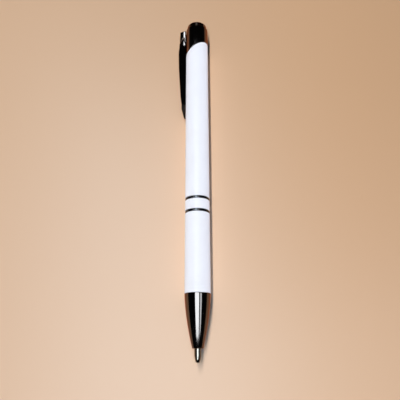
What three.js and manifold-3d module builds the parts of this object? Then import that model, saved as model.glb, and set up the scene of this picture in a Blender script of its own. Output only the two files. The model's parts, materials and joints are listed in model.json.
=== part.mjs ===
// Pushbutton ballpoint pen with a cam click mechanism, lying on its side.
// Millimetres. The pen's axis runs along Y, its point looks towards -Y and its button towards +Y.
// Its clip looks towards -X and leans down until it meets the surface that the pen lies on.
// A station is a distance along the axis from the tip of the ball, with the point out and locked.

import * as THREE from 'three';
import { mergeVertices } from 'three/addons/utils/BufferGeometryUtils.js';
import Module from 'manifold-3d';

const wasm = await Module();
wasm.setup();

const { degToRad, mapLinear, radToDeg } = THREE.MathUtils;

// Facets round the large turned pieces and round the small ones, and the degrees that one facet of
// a cam rib, fin, tooth or key takes
const LARGE_SIDES = 48;
const SMALL_SIDES = 24;
const SECTOR_FACET = 10;

// Points nearer to each other than this are one point
const MERGE_DISTANCE = 1e-4;

// Clearances
const SEAM = 0.05;
const PUSH_FIT = 0.1;
const RUNNING_FIT = 0.1;
const END_PLAY = 0.3;
const SPRING_FIT = 0.25;
const RIB_FIT = 0.15;

// Barrel
const BARREL_RADIUS = 4.6;
const BARREL_WALL = 0.6;
const BARREL_CHAMFER = 0.1;
const LOWER_BARREL_LENGTH = 29.15;
const UPPER_BARREL_LENGTH = 66.5;

// Slanted joint of the upper barrel and the top collar: how far it rises across the pen
const SLANT_RISE = 5.7;
const SLANT_SEAM = 0.1;

// Trim in the middle of the pen
const TRIM_RING_WIDTH = 0.75;
const TRIM_RING_RECESS = 0.05;
const BAND_WIDTH = 4.1;

// Nose cone: the ogive is one curve, steered by a point between its ends
const POINT_REACH = 4.6;
const NOSE_LENGTH = 18.1;
const NOSE_END_RADIUS = 1.95;
const NOSE_EDGE = 0.3;
const NOSE_STEER_RADIUS = 4.35;
const NOSE_STEER_REACH = 10.4;
const NOSE_STEPS = 9;
const NOSE_BORE_LENGTH = 5.4;

// Threaded insert that holds the nose cone in the lower barrel
const INSERT_NOSE_RADIUS = 3.4;
const INSERT_NOSE_LENGTH = 6;
const INSERT_BARREL_LENGTH = 7.25;

// Screwed joint in the middle
const BUSH_LENGTH = 8;
const BUSH_WALL = 0.4;
const THREAD_LENGTH = 6.4;
const THREAD_PITCH = 1.1;
const THREAD_DEPTH = 0.3;
const THREAD_FLANK = 0.3;
const THREAD_CREST = 0.3;
const COUPLING_WALL = 0.5;
const COUPLING_GRIP = 6.4;

// Refill
const POINT_RADIUS = 1.15;
const POINT_TAPER = 2.2;
const POINT_KNEE_RADIUS = 0.92;
const POINT_KNEE_STATION = 1;
const POINT_SHANK_END = 11.2;
const POINT_PLUG_LENGTH = 2.8;
const TUBE_RADIUS = 1.5;
const TUBE_WALL = 0.5;
const TUBE_LENGTH = 95.55;
const INK_LENGTH = 70;
const EAR_STATION = 31.9;
const EAR_LENGTH = 0.6;
const EAR_THICKNESS = 0.5;
const EAR_REACH = 2.1;

// Ball of the point and the socket that it rolls in
const BALL_RADIUS = 0.5;
const BALL_SIDES = 16;
const BALL_RINGS = 10;
const SOCKET_FIT = 0.05;
const SOCKET_LIP_STATION = 0.2;
const SOCKET_LIP_WALL = 0.14;
const INK_CHANNEL_RADIUS = 0.3;
const SOCKET_STEPS = 5;

// Return spring
const WIRE_RADIUS = 0.2;
const COIL_RADIUS = 1.95;
const COILS = 15;
const STEPS_PER_COIL = 8;
const WIRE_SIDES = 5;

// Click: how far the point draws back, and how far the button can be pressed past the lock
const STROKE = 5;
const OVERTRAVEL = 0.8;
const CAM_COUNT = 3;
const CAM_STEP = 60;

// Cam rotor
const ROTOR_RADIUS = 1.95;
const SOCKET_DEPTH = 2.05;
const ROTOR_LENGTH = 5.4;
const FIN_HALF_ANGLE = 10;
const FIN_LENGTH = 2.8;
const FIN_DROP = 1;
const FIN_ROOT_DEPTH = 0.2;

// Crown teeth of the rotor and the plunger
const CROWN_TEETH = 6;
const TOOTH_HEIGHT = 0.8;
const CROWN_BORE = 0.8;
const CROWN_EDGE = 0.1;

// Guide sleeve of the mechanism
const GUIDE_BORE_RADIUS = 2.6;
const GUIDE_WALL = 0.6;
const RIB_START_ANGLE = -25;
const RIB_LENGTH = 9.5;
const GUIDE_SKIRT = 1.3;
const GUIDE_FLANGE_WIDTH = 1.5;
const GUIDE_LIP_RADIUS = 2.15;
const GUIDE_LIP_LENGTH = 1.2;

// Plunger: its stem starts at a shoulder, a little way in front of the button's boss
const KEY_HALF_ANGLE = 20;
const KEY_LENGTH = 4.4;
const KEY_SETBACK = 0.3;
const STEM_RADIUS = 1.2;
const STEM_SHOULDER = 1.5;

// Top collar
const COLLAR_LENGTH = 10.65;
const COLLAR_LIP_CHAMFER = 0.25;
const SPIGOT_DEPTH = 10.15;
const BUTTON_WELL_DEPTH = 6.4;

// Push button
const BUTTON_RADIUS = 4.1;
const BUTTON_WALL = 0.5;
const BUTTON_RIM_HEIGHT = 1.6;
const BUTTON_DOME_HEIGHT = 1.55;
const BUTTON_DOME_STEPS = 8;
const BUTTON_CROWN_THICKNESS = 0.8;
const BUTTON_BOSS_RADIUS = 2;
const BUTTON_BOSS_LENGTH = 4.4;
const BUTTON_STEM_DEPTH = 3.8;

// Clip: reaches are from the pen's axis and falls are from the top of the clip
const CLIP_ROOT_REACH = 6.9;
const CLIP_BOW_REACH = 7.7;
const CLIP_BOW_FALL = 12.5;
const CLIP_WAIST_REACH = 7;
const CLIP_WAIST_FALL = 30;
const CLIP_NECK_REACH = 6.45;
const CLIP_NECK_FALL = 35.5;
const CLIP_BEAD_REACH = 6.55;
const CLIP_BEAD_FALL = 37.2;
const CLIP_END_REACH = 5.55;
const CLIP_LENGTH = 41.7;
const CLIP_ROOT_LENGTH = 5;
const CLIP_ROOT_HALF_WIDTH = 2.5;
const CLIP_NECK_HALF_WIDTH = 1.4;
const CLIP_END_HALF_WIDTH = 0.7;
const CLIP_SHEET = 0.6;
const CLIP_EDGE = 0.35;
const CLIP_GAP = 0.35;
const CLIP_CREASE_DEPTH = 0.25;
const CLIP_CREASE_HALF_WIDTH = 0.35;
const CLIP_STEPS = 12;
const CURVE_HALVINGS = 30;

// Lug of the clip and its slot in the collar
const LUG_FALL = 8.8;
const LUG_LENGTH = 3;
const LUG_HALF_WIDTH = 1.2;
const LUG_FIT = 0.3;

// Stations along the outside, from the point to the button
const noseFront = POINT_REACH;
const noseRear = noseFront + NOSE_LENGTH;
const lowerFront = noseRear + SEAM;
const lowerRear = lowerFront + LOWER_BARREL_LENGTH;
const lowerRingFront = lowerRear + SEAM;
const lowerRingRear = lowerRingFront + TRIM_RING_WIDTH;
const bandFront = lowerRingRear + SEAM;
const bandRear = bandFront + BAND_WIDTH;
const upperRingFront = bandRear + SEAM;
const upperRingRear = upperRingFront + TRIM_RING_WIDTH;
const upperFront = upperRingRear + SEAM;
const slantCentre = upperFront + UPPER_BARREL_LENGTH;
const mouth = slantCentre + COLLAR_LENGTH;
const buttonRim = mouth + BUTTON_RIM_HEIGHT;
const buttonTop = buttonRim + BUTTON_DOME_HEIGHT;
const overallLength = buttonTop;

// Radii that follow from the barrel
const barrelBore = BARREL_RADIUS - BARREL_WALL;
const pushedRadius = barrelBore - PUSH_FIT;
const flatRadius = BARREL_RADIUS * Math.cos(Math.PI / LARGE_SIDES);

// Refill
const noseBore = POINT_RADIUS + RUNNING_FIT;
const springChamber = COIL_RADIUS + WIRE_RADIUS + SPRING_FIT;
const springSeat = noseFront + NOSE_BORE_LENGTH;
const tubeFront = POINT_SHANK_END + PUSH_FIT;
const tubeRear = tubeFront + TUBE_LENGTH;
const tubeBore = TUBE_RADIUS - TUBE_WALL;
const plugRadius = tubeBore - PUSH_FIT;

// Mechanism
const socketFloor = tubeRear + PUSH_FIT;
const rotorFront = socketFloor - SOCKET_DEPTH;
const rotorRear = rotorFront + ROTOR_LENGTH;
const finRadius = GUIDE_BORE_RADIUS - RUNNING_FIT;
const finTop = rotorRear - FIN_DROP;
const ribTip = finTop + END_PLAY;
const ribRear = ribTip + RIB_LENGTH;
const ribRadius = ROTOR_RADIUS + RIB_FIT;
const finRoot = ROTOR_RADIUS - FIN_ROOT_DEPTH;
const crownRadius = ROTOR_RADIUS - CROWN_EDGE;
const toothStep = 360 / CROWN_TEETH;
const guideRadius = GUIDE_BORE_RADIUS + GUIDE_WALL;
const guideFront = rotorFront - GUIDE_SKIRT;
const spigotFront = slantCentre - SPIGOT_DEPTH;
const spigotBore = guideRadius + PUSH_FIT;
const crownGap = TOOTH_HEIGHT + END_PLAY;
const plungerTips = rotorRear + TOOTH_HEIGHT + crownGap;
const plungerFront = plungerTips + TOOTH_HEIGHT;
const keyFront = plungerFront + KEY_SETBACK;
const keyRear = keyFront + KEY_LENGTH;
const lipFront = keyRear + STROKE + RUNNING_FIT;
const guideRear = lipFront + GUIDE_LIP_LENGTH;

// Button
const wellRadius = BUTTON_RADIUS + RUNNING_FIT;
const wellFloor = mouth - BUTTON_WELL_DEPTH;
const buttonFront = wellFloor + OVERTRAVEL + 2 * RUNNING_FIT;
const buttonCeiling = buttonTop - BUTTON_CROWN_THICKNESS - BUTTON_DOME_HEIGHT;
const bossFront = buttonCeiling - BUTTON_BOSS_LENGTH;
const stemRear = bossFront + BUTTON_STEM_DEPTH;
const stemFront = bossFront - STEM_SHOULDER;

// Clip
const clipTop = mouth;
const clipBore = BARREL_RADIUS + CLIP_GAP;
const lugStation = clipTop - LUG_FALL;

const blackChrome = new THREE.MeshStandardMaterial({ color: 0x14151a, roughness: 0.12, metalness: 1 });
const whiteLacquer = new THREE.MeshStandardMaterial({ color: 0xeef1f8, roughness: 0.15, metalness: 0 });
const blackLacquer = new THREE.MeshStandardMaterial({ color: 0x0c0c0f, roughness: 0.2, metalness: 0 });
const brass = new THREE.MeshStandardMaterial({ color: 0xb8934a, roughness: 0.35, metalness: 1 });
const nickel = new THREE.MeshStandardMaterial({ color: 0xb9a58c, roughness: 0.25, metalness: 1 });
const steel = new THREE.MeshStandardMaterial({ color: 0xc3c5c8, roughness: 0.3, metalness: 1 });
const greyPlastic = new THREE.MeshStandardMaterial({ color: 0x50555c, roughness: 0.5, metalness: 0 });
const palePlastic = new THREE.MeshStandardMaterial({ color: 0xe6e4dc, roughness: 0.45, metalness: 0 });
const inkBlue = new THREE.MeshStandardMaterial({ color: 0x101a4a, roughness: 0.3, metalness: 0 });

// Volume enclosed by indexed triangles, which is negative where they face inwards
function signedVolume(positions, indices) {
  const a = new THREE.Vector3();
  const b = new THREE.Vector3();
  const c = new THREE.Vector3();
  let sum = 0;
  for (let i = 0; i < indices.length; i += 3) {
    a.fromArray(positions, 3 * indices[i]);
    b.fromArray(positions, 3 * indices[i + 1]);
    c.fromArray(positions, 3 * indices[i + 2]);
    sum += a.dot(b.cross(c)) / 6;
  }
  return sum;
}

// Closed geometry as a solid: equal vertices merged, empty triangles left out, faces pointing out
function solid(geometry) {
  const bare = geometry.clone();
  bare.deleteAttribute('normal');
  bare.deleteAttribute('uv');
  const merged = mergeVertices(bare, MERGE_DISTANCE);
  const positions = merged.attributes.position.array;
  const source = merged.index.array;
  const indices = [];
  for (let i = 0; i < source.length; i += 3) {
    const [a, b, c] = source.slice(i, i + 3);
    if (a !== b && b !== c && c !== a) {
      indices.push(a, b, c);
    }
  }
  if (signedVolume(positions, indices) < 0) {
    indices.reverse();
  }
  const vertProperties = new Float32Array(positions);
  const triVerts = new Uint32Array(indices);
  return new wasm.Manifold(new wasm.Mesh({ numProp: 3, vertProperties, triVerts }));
}

// Solid of revolution about Y. The profile is a list of [radius, station] pairs, which closes on
// itself unless it starts and ends on the axis. A facet lies flat at the bottom and at the top.
function revolve(profile, sides) {
  const points = profile.map(([radius, station]) => new THREE.Vector2(radius, station));
  if (points[0].x > 0) {
    points.push(points[0].clone());
  }
  return solid(new THREE.LatheGeometry(points, sides, Math.PI / sides));
}

// Solid between equal closed loops of points, one after the other, with flat ends
function loft(loops, outline) {
  const count = outline.length;
  const last = (loops.length - 1) * count;
  const positions = loops.flat().flatMap((point) => point.toArray());
  const indices = [];
  for (let ring = 0; ring < last; ring += count) {
    for (let i = 0; i < count; i += 1) {
      const j = (i + 1) % count;
      indices.push(ring + i, ring + j, ring + count + j);
      indices.push(ring + i, ring + count + j, ring + count + i);
    }
  }
  for (const [a, b, c] of THREE.ShapeUtils.triangulateShape(outline, [])) {
    const turns = THREE.ShapeUtils.isClockWise([outline[a], outline[b], outline[c]])
      === THREE.ShapeUtils.isClockWise(outline);
    const [d, e, f] = turns ? [a, b, c] : [a, c, b];
    indices.push(f, e, d);
    indices.push(last + d, last + e, last + f);
  }
  const geometry = new THREE.BufferGeometry();
  geometry.setAttribute('position', new THREE.Float32BufferAttribute(positions, 3));
  geometry.setIndex(indices);
  return solid(geometry);
}

// Point at a radius, an angle in degrees about Y counted from +Z towards +X, and a station
function polar(radius, degrees, station) {
  const angle = degToRad(degrees);
  return new THREE.Vector3(radius * Math.sin(angle), station, radius * Math.cos(angle));
}

// Block between two radii and two angles, whose lower and upper stations are functions of the angle
function sector(inner, outer, from, to, low, high) {
  const steps = Math.round((to - from) / SECTOR_FACET);
  const loops = [];
  for (let i = 0; i <= steps; i += 1) {
    const degrees = from + ((to - from) * i) / steps;
    loops.push([
      polar(inner, degrees, low(degrees)),
      polar(outer, degrees, low(degrees)),
      polar(outer, degrees, high(degrees)),
      polar(inner, degrees, high(degrees)),
    ]);
  }
  const outline = [[0, 0], [1, 0], [1, 1], [0, 1]].map(([x, y]) => new THREE.Vector2(x, y));
  return loft(loops, outline);
}

// Joined copies of a sector, spaced evenly about the axis
function sectorsAround(count, inner, outer, from, to, low, high) {
  const copies = [];
  for (let i = 0; i < count; i += 1) {
    const turn = (360 * i) / count;
    const lowHere = (degrees) => low(degrees - turn);
    const highHere = (degrees) => high(degrees - turn);
    copies.push(sector(inner, outer, from + turn, to + turn, lowHere, highHere));
  }
  return wasm.Manifold.union(copies);
}

// Named mesh of a solid
function piece(name, body, material) {
  const { vertProperties, triVerts } = body.getMesh();
  const geometry = new THREE.BufferGeometry();
  geometry.setAttribute('position', new THREE.BufferAttribute(new Float32Array(vertProperties), 3));
  geometry.setIndex(new THREE.BufferAttribute(new Uint32Array(triVerts), 1));
  geometry.computeVertexNormals();
  const mesh = new THREE.Mesh(geometry, material);
  mesh.name = name;
  return mesh;
}

// Tube with its outer edges chamfered
function barrelTube(front, rear) {
  return revolve([
    [barrelBore, front],
    [BARREL_RADIUS - BARREL_CHAMFER, front],
    [BARREL_RADIUS, front + BARREL_CHAMFER],
    [BARREL_RADIUS, rear - BARREL_CHAMFER],
    [BARREL_RADIUS - BARREL_CHAMFER, rear],
    [barrelBore, rear],
  ], LARGE_SIDES);
}

function noseCone() {
  const start = new THREE.Vector2(NOSE_END_RADIUS, noseFront + NOSE_EDGE);
  const steer = new THREE.Vector2(NOSE_STEER_RADIUS, noseFront + NOSE_STEER_REACH);
  const end = new THREE.Vector2(BARREL_RADIUS, noseRear);
  const ogive = new THREE.QuadraticBezierCurve(start, steer, end).getPoints(NOSE_STEPS);
  const socketRadius = INSERT_NOSE_RADIUS + PUSH_FIT;
  const socketFront = noseRear - INSERT_NOSE_LENGTH - PUSH_FIT;
  return revolve([
    [noseBore, noseFront],
    [NOSE_END_RADIUS - NOSE_EDGE, noseFront],
    ...ogive.map((point) => point.toArray()),
    [socketRadius, noseRear],
    [socketRadius, socketFront],
    [springChamber, socketFront],
    [springChamber, springSeat],
    [noseBore, springSeat],
  ], LARGE_SIDES);
}

function noseInsert() {
  const rear = lowerFront + INSERT_BARREL_LENGTH;
  return revolve([
    [springChamber, noseRear - INSERT_NOSE_LENGTH],
    [INSERT_NOSE_RADIUS, noseRear - INSERT_NOSE_LENGTH],
    [INSERT_NOSE_RADIUS, lowerFront],
    [pushedRadius, lowerFront],
    [pushedRadius, rear],
    [springChamber, rear],
  ], LARGE_SIDES);
}

function threadBush() {
  const rear = lowerRear - SEAM;
  return revolve([
    [pushedRadius - BUSH_WALL, rear - BUSH_LENGTH],
    [pushedRadius, rear - BUSH_LENGTH],
    [pushedRadius, rear],
    [pushedRadius - BUSH_WALL, rear],
  ], LARGE_SIDES);
}

function trimRing(front) {
  const radius = BARREL_RADIUS - TRIM_RING_RECESS;
  return revolve([
    [barrelBore, front],
    [radius, front],
    [radius, front + TRIM_RING_WIDTH],
    [barrelBore, front + TRIM_RING_WIDTH],
  ], LARGE_SIDES);
}

// Coupling: a threaded end for the lower barrel's bush and a plain end pressed into the upper barrel
function centreCoupling() {
  const crest = pushedRadius - BUSH_WALL - PUSH_FIT;
  const root = crest - THREAD_DEPTH;
  const bore = root - COUPLING_WALL;
  const threadFront = lowerRear - THREAD_LENGTH;
  const profile = [[bore, threadFront], [root, threadFront]];
  const turns = Math.floor(THREAD_LENGTH / THREAD_PITCH);
  for (let i = 0; i < turns; i += 1) {
    const start = threadFront + i * THREAD_PITCH;
    profile.push([crest, start + THREAD_FLANK]);
    profile.push([crest, start + THREAD_FLANK + THREAD_CREST]);
    profile.push([root, start + 2 * THREAD_FLANK + THREAD_CREST]);
  }
  const rear = upperFront + COUPLING_GRIP;
  profile.push([root, lowerRear + SEAM], [pushedRadius, lowerRear + SEAM]);
  profile.push([pushedRadius, rear], [bore, rear]);
  return revolve(profile, SMALL_SIDES);
}

// Everything above the slanted plane, which falls towards the clip, turned to the clip's side
function aboveSlant(lift, clipAngle) {
  const side = 3 * BARREL_RADIUS;
  const slope = SLANT_RISE / (2 * BARREL_RADIUS);
  const centre = slantCentre + lift;
  const shape = new THREE.Shape([
    new THREE.Vector2(-side, centre + side * slope),
    new THREE.Vector2(side, centre - side * slope),
    new THREE.Vector2(side, mouth + side),
    new THREE.Vector2(-side, mouth + side),
  ]);
  const block = new THREE.ExtrudeGeometry(shape, { depth: 2 * side, bevelEnabled: false });
  block.translate(0, 0, -side);
  block.rotateY(clipAngle);
  return solid(block);
}

function upperBarrel(clipAngle) {
  return barrelTube(upperFront, mouth).subtract(aboveSlant(0, clipAngle));
}

// Lug of the clip, or with a fit round it the slot that it sits in, in the clip's own frame
function lugBlock(fit, innerReach, outerReach) {
  const height = outerReach - innerReach;
  const block = new THREE.BoxGeometry(height, LUG_LENGTH + 2 * fit, 2 * (LUG_HALF_WIDTH + fit));
  block.translate((innerReach + outerReach) / 2, lugStation, 0);
  return block;
}

function topCollar(clipAngle) {
  const belowSlant = slantCentre - SLANT_RISE;
  const shell = revolve([
    [spigotBore, belowSlant],
    [BARREL_RADIUS, belowSlant],
    [BARREL_RADIUS, mouth - COLLAR_LIP_CHAMFER],
    [BARREL_RADIUS - COLLAR_LIP_CHAMFER, mouth],
    [spigotBore, mouth],
  ], LARGE_SIDES);
  const spigot = revolve([
    [spigotBore, spigotFront],
    [pushedRadius, spigotFront],
    [pushedRadius, wellFloor],
    [spigotBore, wellFloor],
  ], LARGE_SIDES);
  const well = revolve([
    [0, wellFloor],
    [wellRadius, wellFloor],
    [wellRadius, buttonTop],
    [0, buttonTop],
  ], LARGE_SIDES);
  const slot = lugBlock(LUG_FIT, GUIDE_BORE_RADIUS, clipBore).rotateY(clipAngle);
  const sleeve = shell.intersect(aboveSlant(SLANT_SEAM, clipAngle)).add(spigot);
  return sleeve.subtract(well).subtract(solid(slot));
}

// Rib ends and fin tops climb with the angle at the rate at which the rotor climbs and turns
function camClimb(degrees) {
  return (degrees * STROKE) / CAM_STEP;
}

// Guide sleeve with a lip that keeps the plunger in, a flange under the collar and three cam ribs
function mechanismBody() {
  const flangeRear = spigotFront - RUNNING_FIT;
  const sleeve = revolve([
    [GUIDE_BORE_RADIUS, guideFront],
    [guideRadius, guideFront],
    [guideRadius, flangeRear - GUIDE_FLANGE_WIDTH],
    [pushedRadius - PUSH_FIT, flangeRear - GUIDE_FLANGE_WIDTH],
    [pushedRadius - PUSH_FIT, flangeRear],
    [guideRadius, flangeRear],
    [guideRadius, guideRear],
    [GUIDE_LIP_RADIUS, guideRear],
    [GUIDE_LIP_RADIUS, lipFront],
    [GUIDE_BORE_RADIUS, lipFront],
  ], SMALL_SIDES);
  const outer = GUIDE_BORE_RADIUS + GUIDE_WALL / 2;
  const low = (degrees) => ribTip + camClimb(degrees);
  const high = () => ribRear;
  const ribEnd = RIB_START_ANGLE + CAM_STEP;
  return sleeve.add(sectorsAround(CAM_COUNT, ribRadius, outer, RIB_START_ANGLE, ribEnd, low, high));
}

// Climb of a crown tooth at an angle: a ramp over the tooth's own step
function toothClimb(degrees) {
  return (degrees * CROWN_TEETH * TOOTH_HEIGHT) / 360;
}

function camRotor() {
  const body = revolve([
    [0, socketFloor],
    [TUBE_RADIUS + RUNNING_FIT, socketFloor],
    [TUBE_RADIUS + RUNNING_FIT, rotorFront],
    [ROTOR_RADIUS, rotorFront],
    [ROTOR_RADIUS, rotorRear],
    [0, rotorRear],
  ], SMALL_SIDES);
  const finLow = () => finTop - FIN_LENGTH;
  const finHigh = (degrees) => finTop + camClimb(degrees);
  const finEnd = FIN_HALF_ANGLE;
  const fins = sectorsAround(CAM_COUNT, finRoot, finRadius, -finEnd, finEnd, finLow, finHigh);
  const toothLow = () => rotorRear - CROWN_EDGE;
  const toothHigh = (degrees) => rotorRear + toothClimb(degrees);
  const crown = sectorsAround(CROWN_TEETH, CROWN_BORE, crownRadius, 0, toothStep, toothLow, toothHigh);
  return wasm.Manifold.union([body, fins, crown]);
}

function plunger() {
  const body = revolve([
    [0, plungerFront],
    [ROTOR_RADIUS, plungerFront],
    [ROTOR_RADIUS, stemFront],
    [STEM_RADIUS, stemFront],
    [STEM_RADIUS, stemRear],
    [0, stemRear],
  ], SMALL_SIDES);
  const toothLow = (degrees) => plungerTips + toothClimb(degrees);
  const toothHigh = () => plungerFront + CROWN_EDGE;
  const crown = sectorsAround(CROWN_TEETH, CROWN_BORE, crownRadius, 0, toothStep, toothLow, toothHigh);
  const keyCentre = RIB_START_ANGLE + 1.5 * CAM_STEP;
  const from = keyCentre - KEY_HALF_ANGLE;
  const to = keyCentre + KEY_HALF_ANGLE;
  const keys = sectorsAround(CAM_COUNT, finRoot, finRadius, from, to, () => keyFront, () => keyRear);
  return wasm.Manifold.union([body, crown, keys]);
}

// Cup with a low dome on top and a boss inside for the plunger's stem
function pushButton() {
  const dome = [];
  for (let i = 0; i <= BUTTON_DOME_STEPS; i += 1) {
    const angle = ((Math.PI / 2) * (BUTTON_DOME_STEPS - i)) / BUTTON_DOME_STEPS;
    const radius = i === 0 ? 0 : BUTTON_RADIUS * Math.cos(angle);
    dome.push([radius, buttonRim + BUTTON_DOME_HEIGHT * Math.sin(angle)]);
  }
  const stemBore = STEM_RADIUS + PUSH_FIT;
  return revolve([
    ...dome,
    [BUTTON_RADIUS, buttonFront],
    [BUTTON_RADIUS - BUTTON_WALL, buttonFront],
    [BUTTON_RADIUS - BUTTON_WALL, buttonCeiling],
    [BUTTON_BOSS_RADIUS, buttonCeiling],
    [BUTTON_BOSS_RADIUS, bossFront],
    [stemBore, bossFront],
    [stemBore, stemRear + PUSH_FIT],
    [0, stemRear + PUSH_FIT],
  ], LARGE_SIDES);
}

// Tube with two crimped ears that the return spring bears on
function refillTube() {
  const tube = revolve([
    [tubeBore, tubeFront],
    [TUBE_RADIUS, tubeFront],
    [TUBE_RADIUS, tubeRear],
    [tubeBore, tubeRear],
  ], SMALL_SIDES);
  const earInner = TUBE_RADIUS - TUBE_WALL / 2;
  const ears = [-1, 1].map((side) => {
    const box = new THREE.BoxGeometry(EAR_REACH - earInner, EAR_LENGTH, EAR_THICKNESS);
    box.translate((side * (EAR_REACH + earInner)) / 2, EAR_STATION + EAR_LENGTH / 2, 0);
    return solid(box);
  });
  return wasm.Manifold.union([tube, ...ears]);
}

function inkColumn() {
  const front = POINT_SHANK_END + POINT_PLUG_LENGTH + PUSH_FIT;
  return revolve([
    [0, front],
    [plugRadius, front],
    [plugRadius, front + INK_LENGTH],
    [0, front + INK_LENGTH],
  ], SMALL_SIDES);
}

// Turned point with a round socket for the ball and a channel that feeds it
function refillPoint() {
  const socket = BALL_RADIUS + SOCKET_FIT;
  const lipRadius = Math.sqrt(socket ** 2 - (BALL_RADIUS - SOCKET_LIP_STATION) ** 2);
  const lipAngle = Math.atan2(SOCKET_LIP_STATION - BALL_RADIUS, lipRadius);
  const backAngle = Math.acos(INK_CHANNEL_RADIUS / socket);
  const arc = [];
  for (let i = 0; i <= SOCKET_STEPS; i += 1) {
    const angle = backAngle + ((lipAngle - backAngle) * i) / SOCKET_STEPS;
    arc.push([socket * Math.cos(angle), BALL_RADIUS + socket * Math.sin(angle)]);
  }
  const plugRear = POINT_SHANK_END + POINT_PLUG_LENGTH;
  return revolve([
    [lipRadius + SOCKET_LIP_WALL, SOCKET_LIP_STATION],
    [POINT_KNEE_RADIUS, POINT_KNEE_STATION],
    [POINT_RADIUS, POINT_TAPER],
    [POINT_RADIUS, POINT_SHANK_END],
    [plugRadius, POINT_SHANK_END],
    [plugRadius, plugRear],
    [INK_CHANNEL_RADIUS, plugRear],
    ...arc,
  ], SMALL_SIDES);
}

function tipBall() {
  const ball = new THREE.SphereGeometry(BALL_RADIUS, BALL_SIDES, BALL_RINGS);
  ball.translate(0, BALL_RADIUS, 0);
  return solid(ball);
}

// Least distance between points of the wire's centre line that are half a coil or more apart,
// less the wire's own thickness
function leastGap(centres) {
  let least = Infinity;
  for (let i = 0; i < centres.length; i += 1) {
    for (let j = i + STEPS_PER_COIL / 2; j < centres.length; j += 1) {
      least = Math.min(least, centres[i].distanceTo(centres[j]));
    }
  }
  return least - 2 * WIRE_RADIUS;
}

// One round wire wound on a helix, each cross-section standing square to the wire
function returnSpring() {
  const front = springSeat + END_PLAY + WIRE_RADIUS;
  const rear = EAR_STATION - END_PLAY - WIRE_RADIUS;
  const steps = COILS * STEPS_PER_COIL;
  const climbAngle = Math.atan2((rear - front) / COILS, 2 * Math.PI * COIL_RADIUS);
  const centres = [];
  const loops = [];
  const outline = [];
  for (let side = 0; side < WIRE_SIDES; side += 1) {
    const turn = (2 * Math.PI * side) / WIRE_SIDES;
    outline.push(new THREE.Vector2(Math.cos(turn), Math.sin(turn)));
  }
  for (let i = 0; i <= steps; i += 1) {
    const degrees = (360 * i) / STEPS_PER_COIL;
    const out = polar(1, degrees, 0);
    const along = polar(1, degrees + 90, 0);
    const across = new THREE.Vector3(0, Math.cos(climbAngle), 0);
    across.addScaledVector(along, -Math.sin(climbAngle));
    const centre = polar(COIL_RADIUS, degrees, front + ((rear - front) * i) / steps);
    centres.push(centre);
    loops.push(outline.map(({ x, y }) => centre.clone()
      .addScaledVector(out, WIRE_RADIUS * x)
      .addScaledVector(across, WIRE_RADIUS * y)));
  }
  console.log(`return_spring: least gap to itself ${leastGap(centres).toFixed(2)} mm`);
  return loft(loops, outline);
}

// Reach of the clip's outer face at a fall from its top: a bowed curve down to the neck, a short
// rise to the bead, and a straight fall to the end
function clipReach(fall) {
  if (fall >= CLIP_BEAD_FALL) {
    return mapLinear(fall, CLIP_BEAD_FALL, CLIP_LENGTH, CLIP_BEAD_REACH, CLIP_END_REACH);
  }
  if (fall >= CLIP_NECK_FALL) {
    return mapLinear(fall, CLIP_NECK_FALL, CLIP_BEAD_FALL, CLIP_NECK_REACH, CLIP_BEAD_REACH);
  }
  const bow = new THREE.SplineCurve([
    new THREE.Vector2(0, CLIP_ROOT_REACH),
    new THREE.Vector2(CLIP_BOW_FALL, CLIP_BOW_REACH),
    new THREE.Vector2(CLIP_WAIST_FALL, CLIP_WAIST_REACH),
    new THREE.Vector2(CLIP_NECK_FALL, CLIP_NECK_REACH),
  ]);
  let low = 0;
  let high = 1;
  for (let i = 0; i < CURVE_HALVINGS; i += 1) {
    const middle = (low + high) / 2;
    if (bow.getPoint(middle).x < fall) {
      low = middle;
    } else {
      high = middle;
    }
  }
  return bow.getPoint(low).y;
}

function clipHalfWidth(fall) {
  if (fall <= CLIP_NECK_FALL) {
    return mapLinear(fall, 0, CLIP_NECK_FALL, CLIP_ROOT_HALF_WIDTH, CLIP_NECK_HALF_WIDTH);
  }
  return mapLinear(fall, CLIP_NECK_FALL, CLIP_LENGTH, CLIP_NECK_HALF_WIDTH, CLIP_END_HALF_WIDTH);
}

// Outline of the clip across its length, as [reach, side] pairs: full, or with its channel open
function clipSection(fall, dip, open) {
  const reach = clipReach(fall) - dip;
  const side = clipHalfWidth(fall);
  const inner = BARREL_RADIUS - CLIP_SHEET;
  const half = [[inner, side], [reach - CLIP_EDGE, side], [reach, side - CLIP_EDGE]];
  const mirrored = half.map(([x, z]) => [x, -z]).reverse();
  if (!open) {
    return [...half, ...mirrored];
  }
  const wall = side - CLIP_SHEET;
  const channel = [[inner, -wall], [reach - CLIP_SHEET, -wall], [reach - CLIP_SHEET, wall], [inner, wall]];
  return [...half, ...mirrored, ...channel];
}

// Stretch of the clip through the given falls, each with how far its face dips there
function clipStretch(stations, open) {
  const loops = stations.map(([fall, dip]) => clipSection(fall, dip, open)
    .map(([x, z]) => new THREE.Vector3(x, clipTop - fall, z)));
  const outline = loops[0].map((point) => new THREE.Vector2(point.x, point.z));
  return loft(loops, outline);
}

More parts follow.
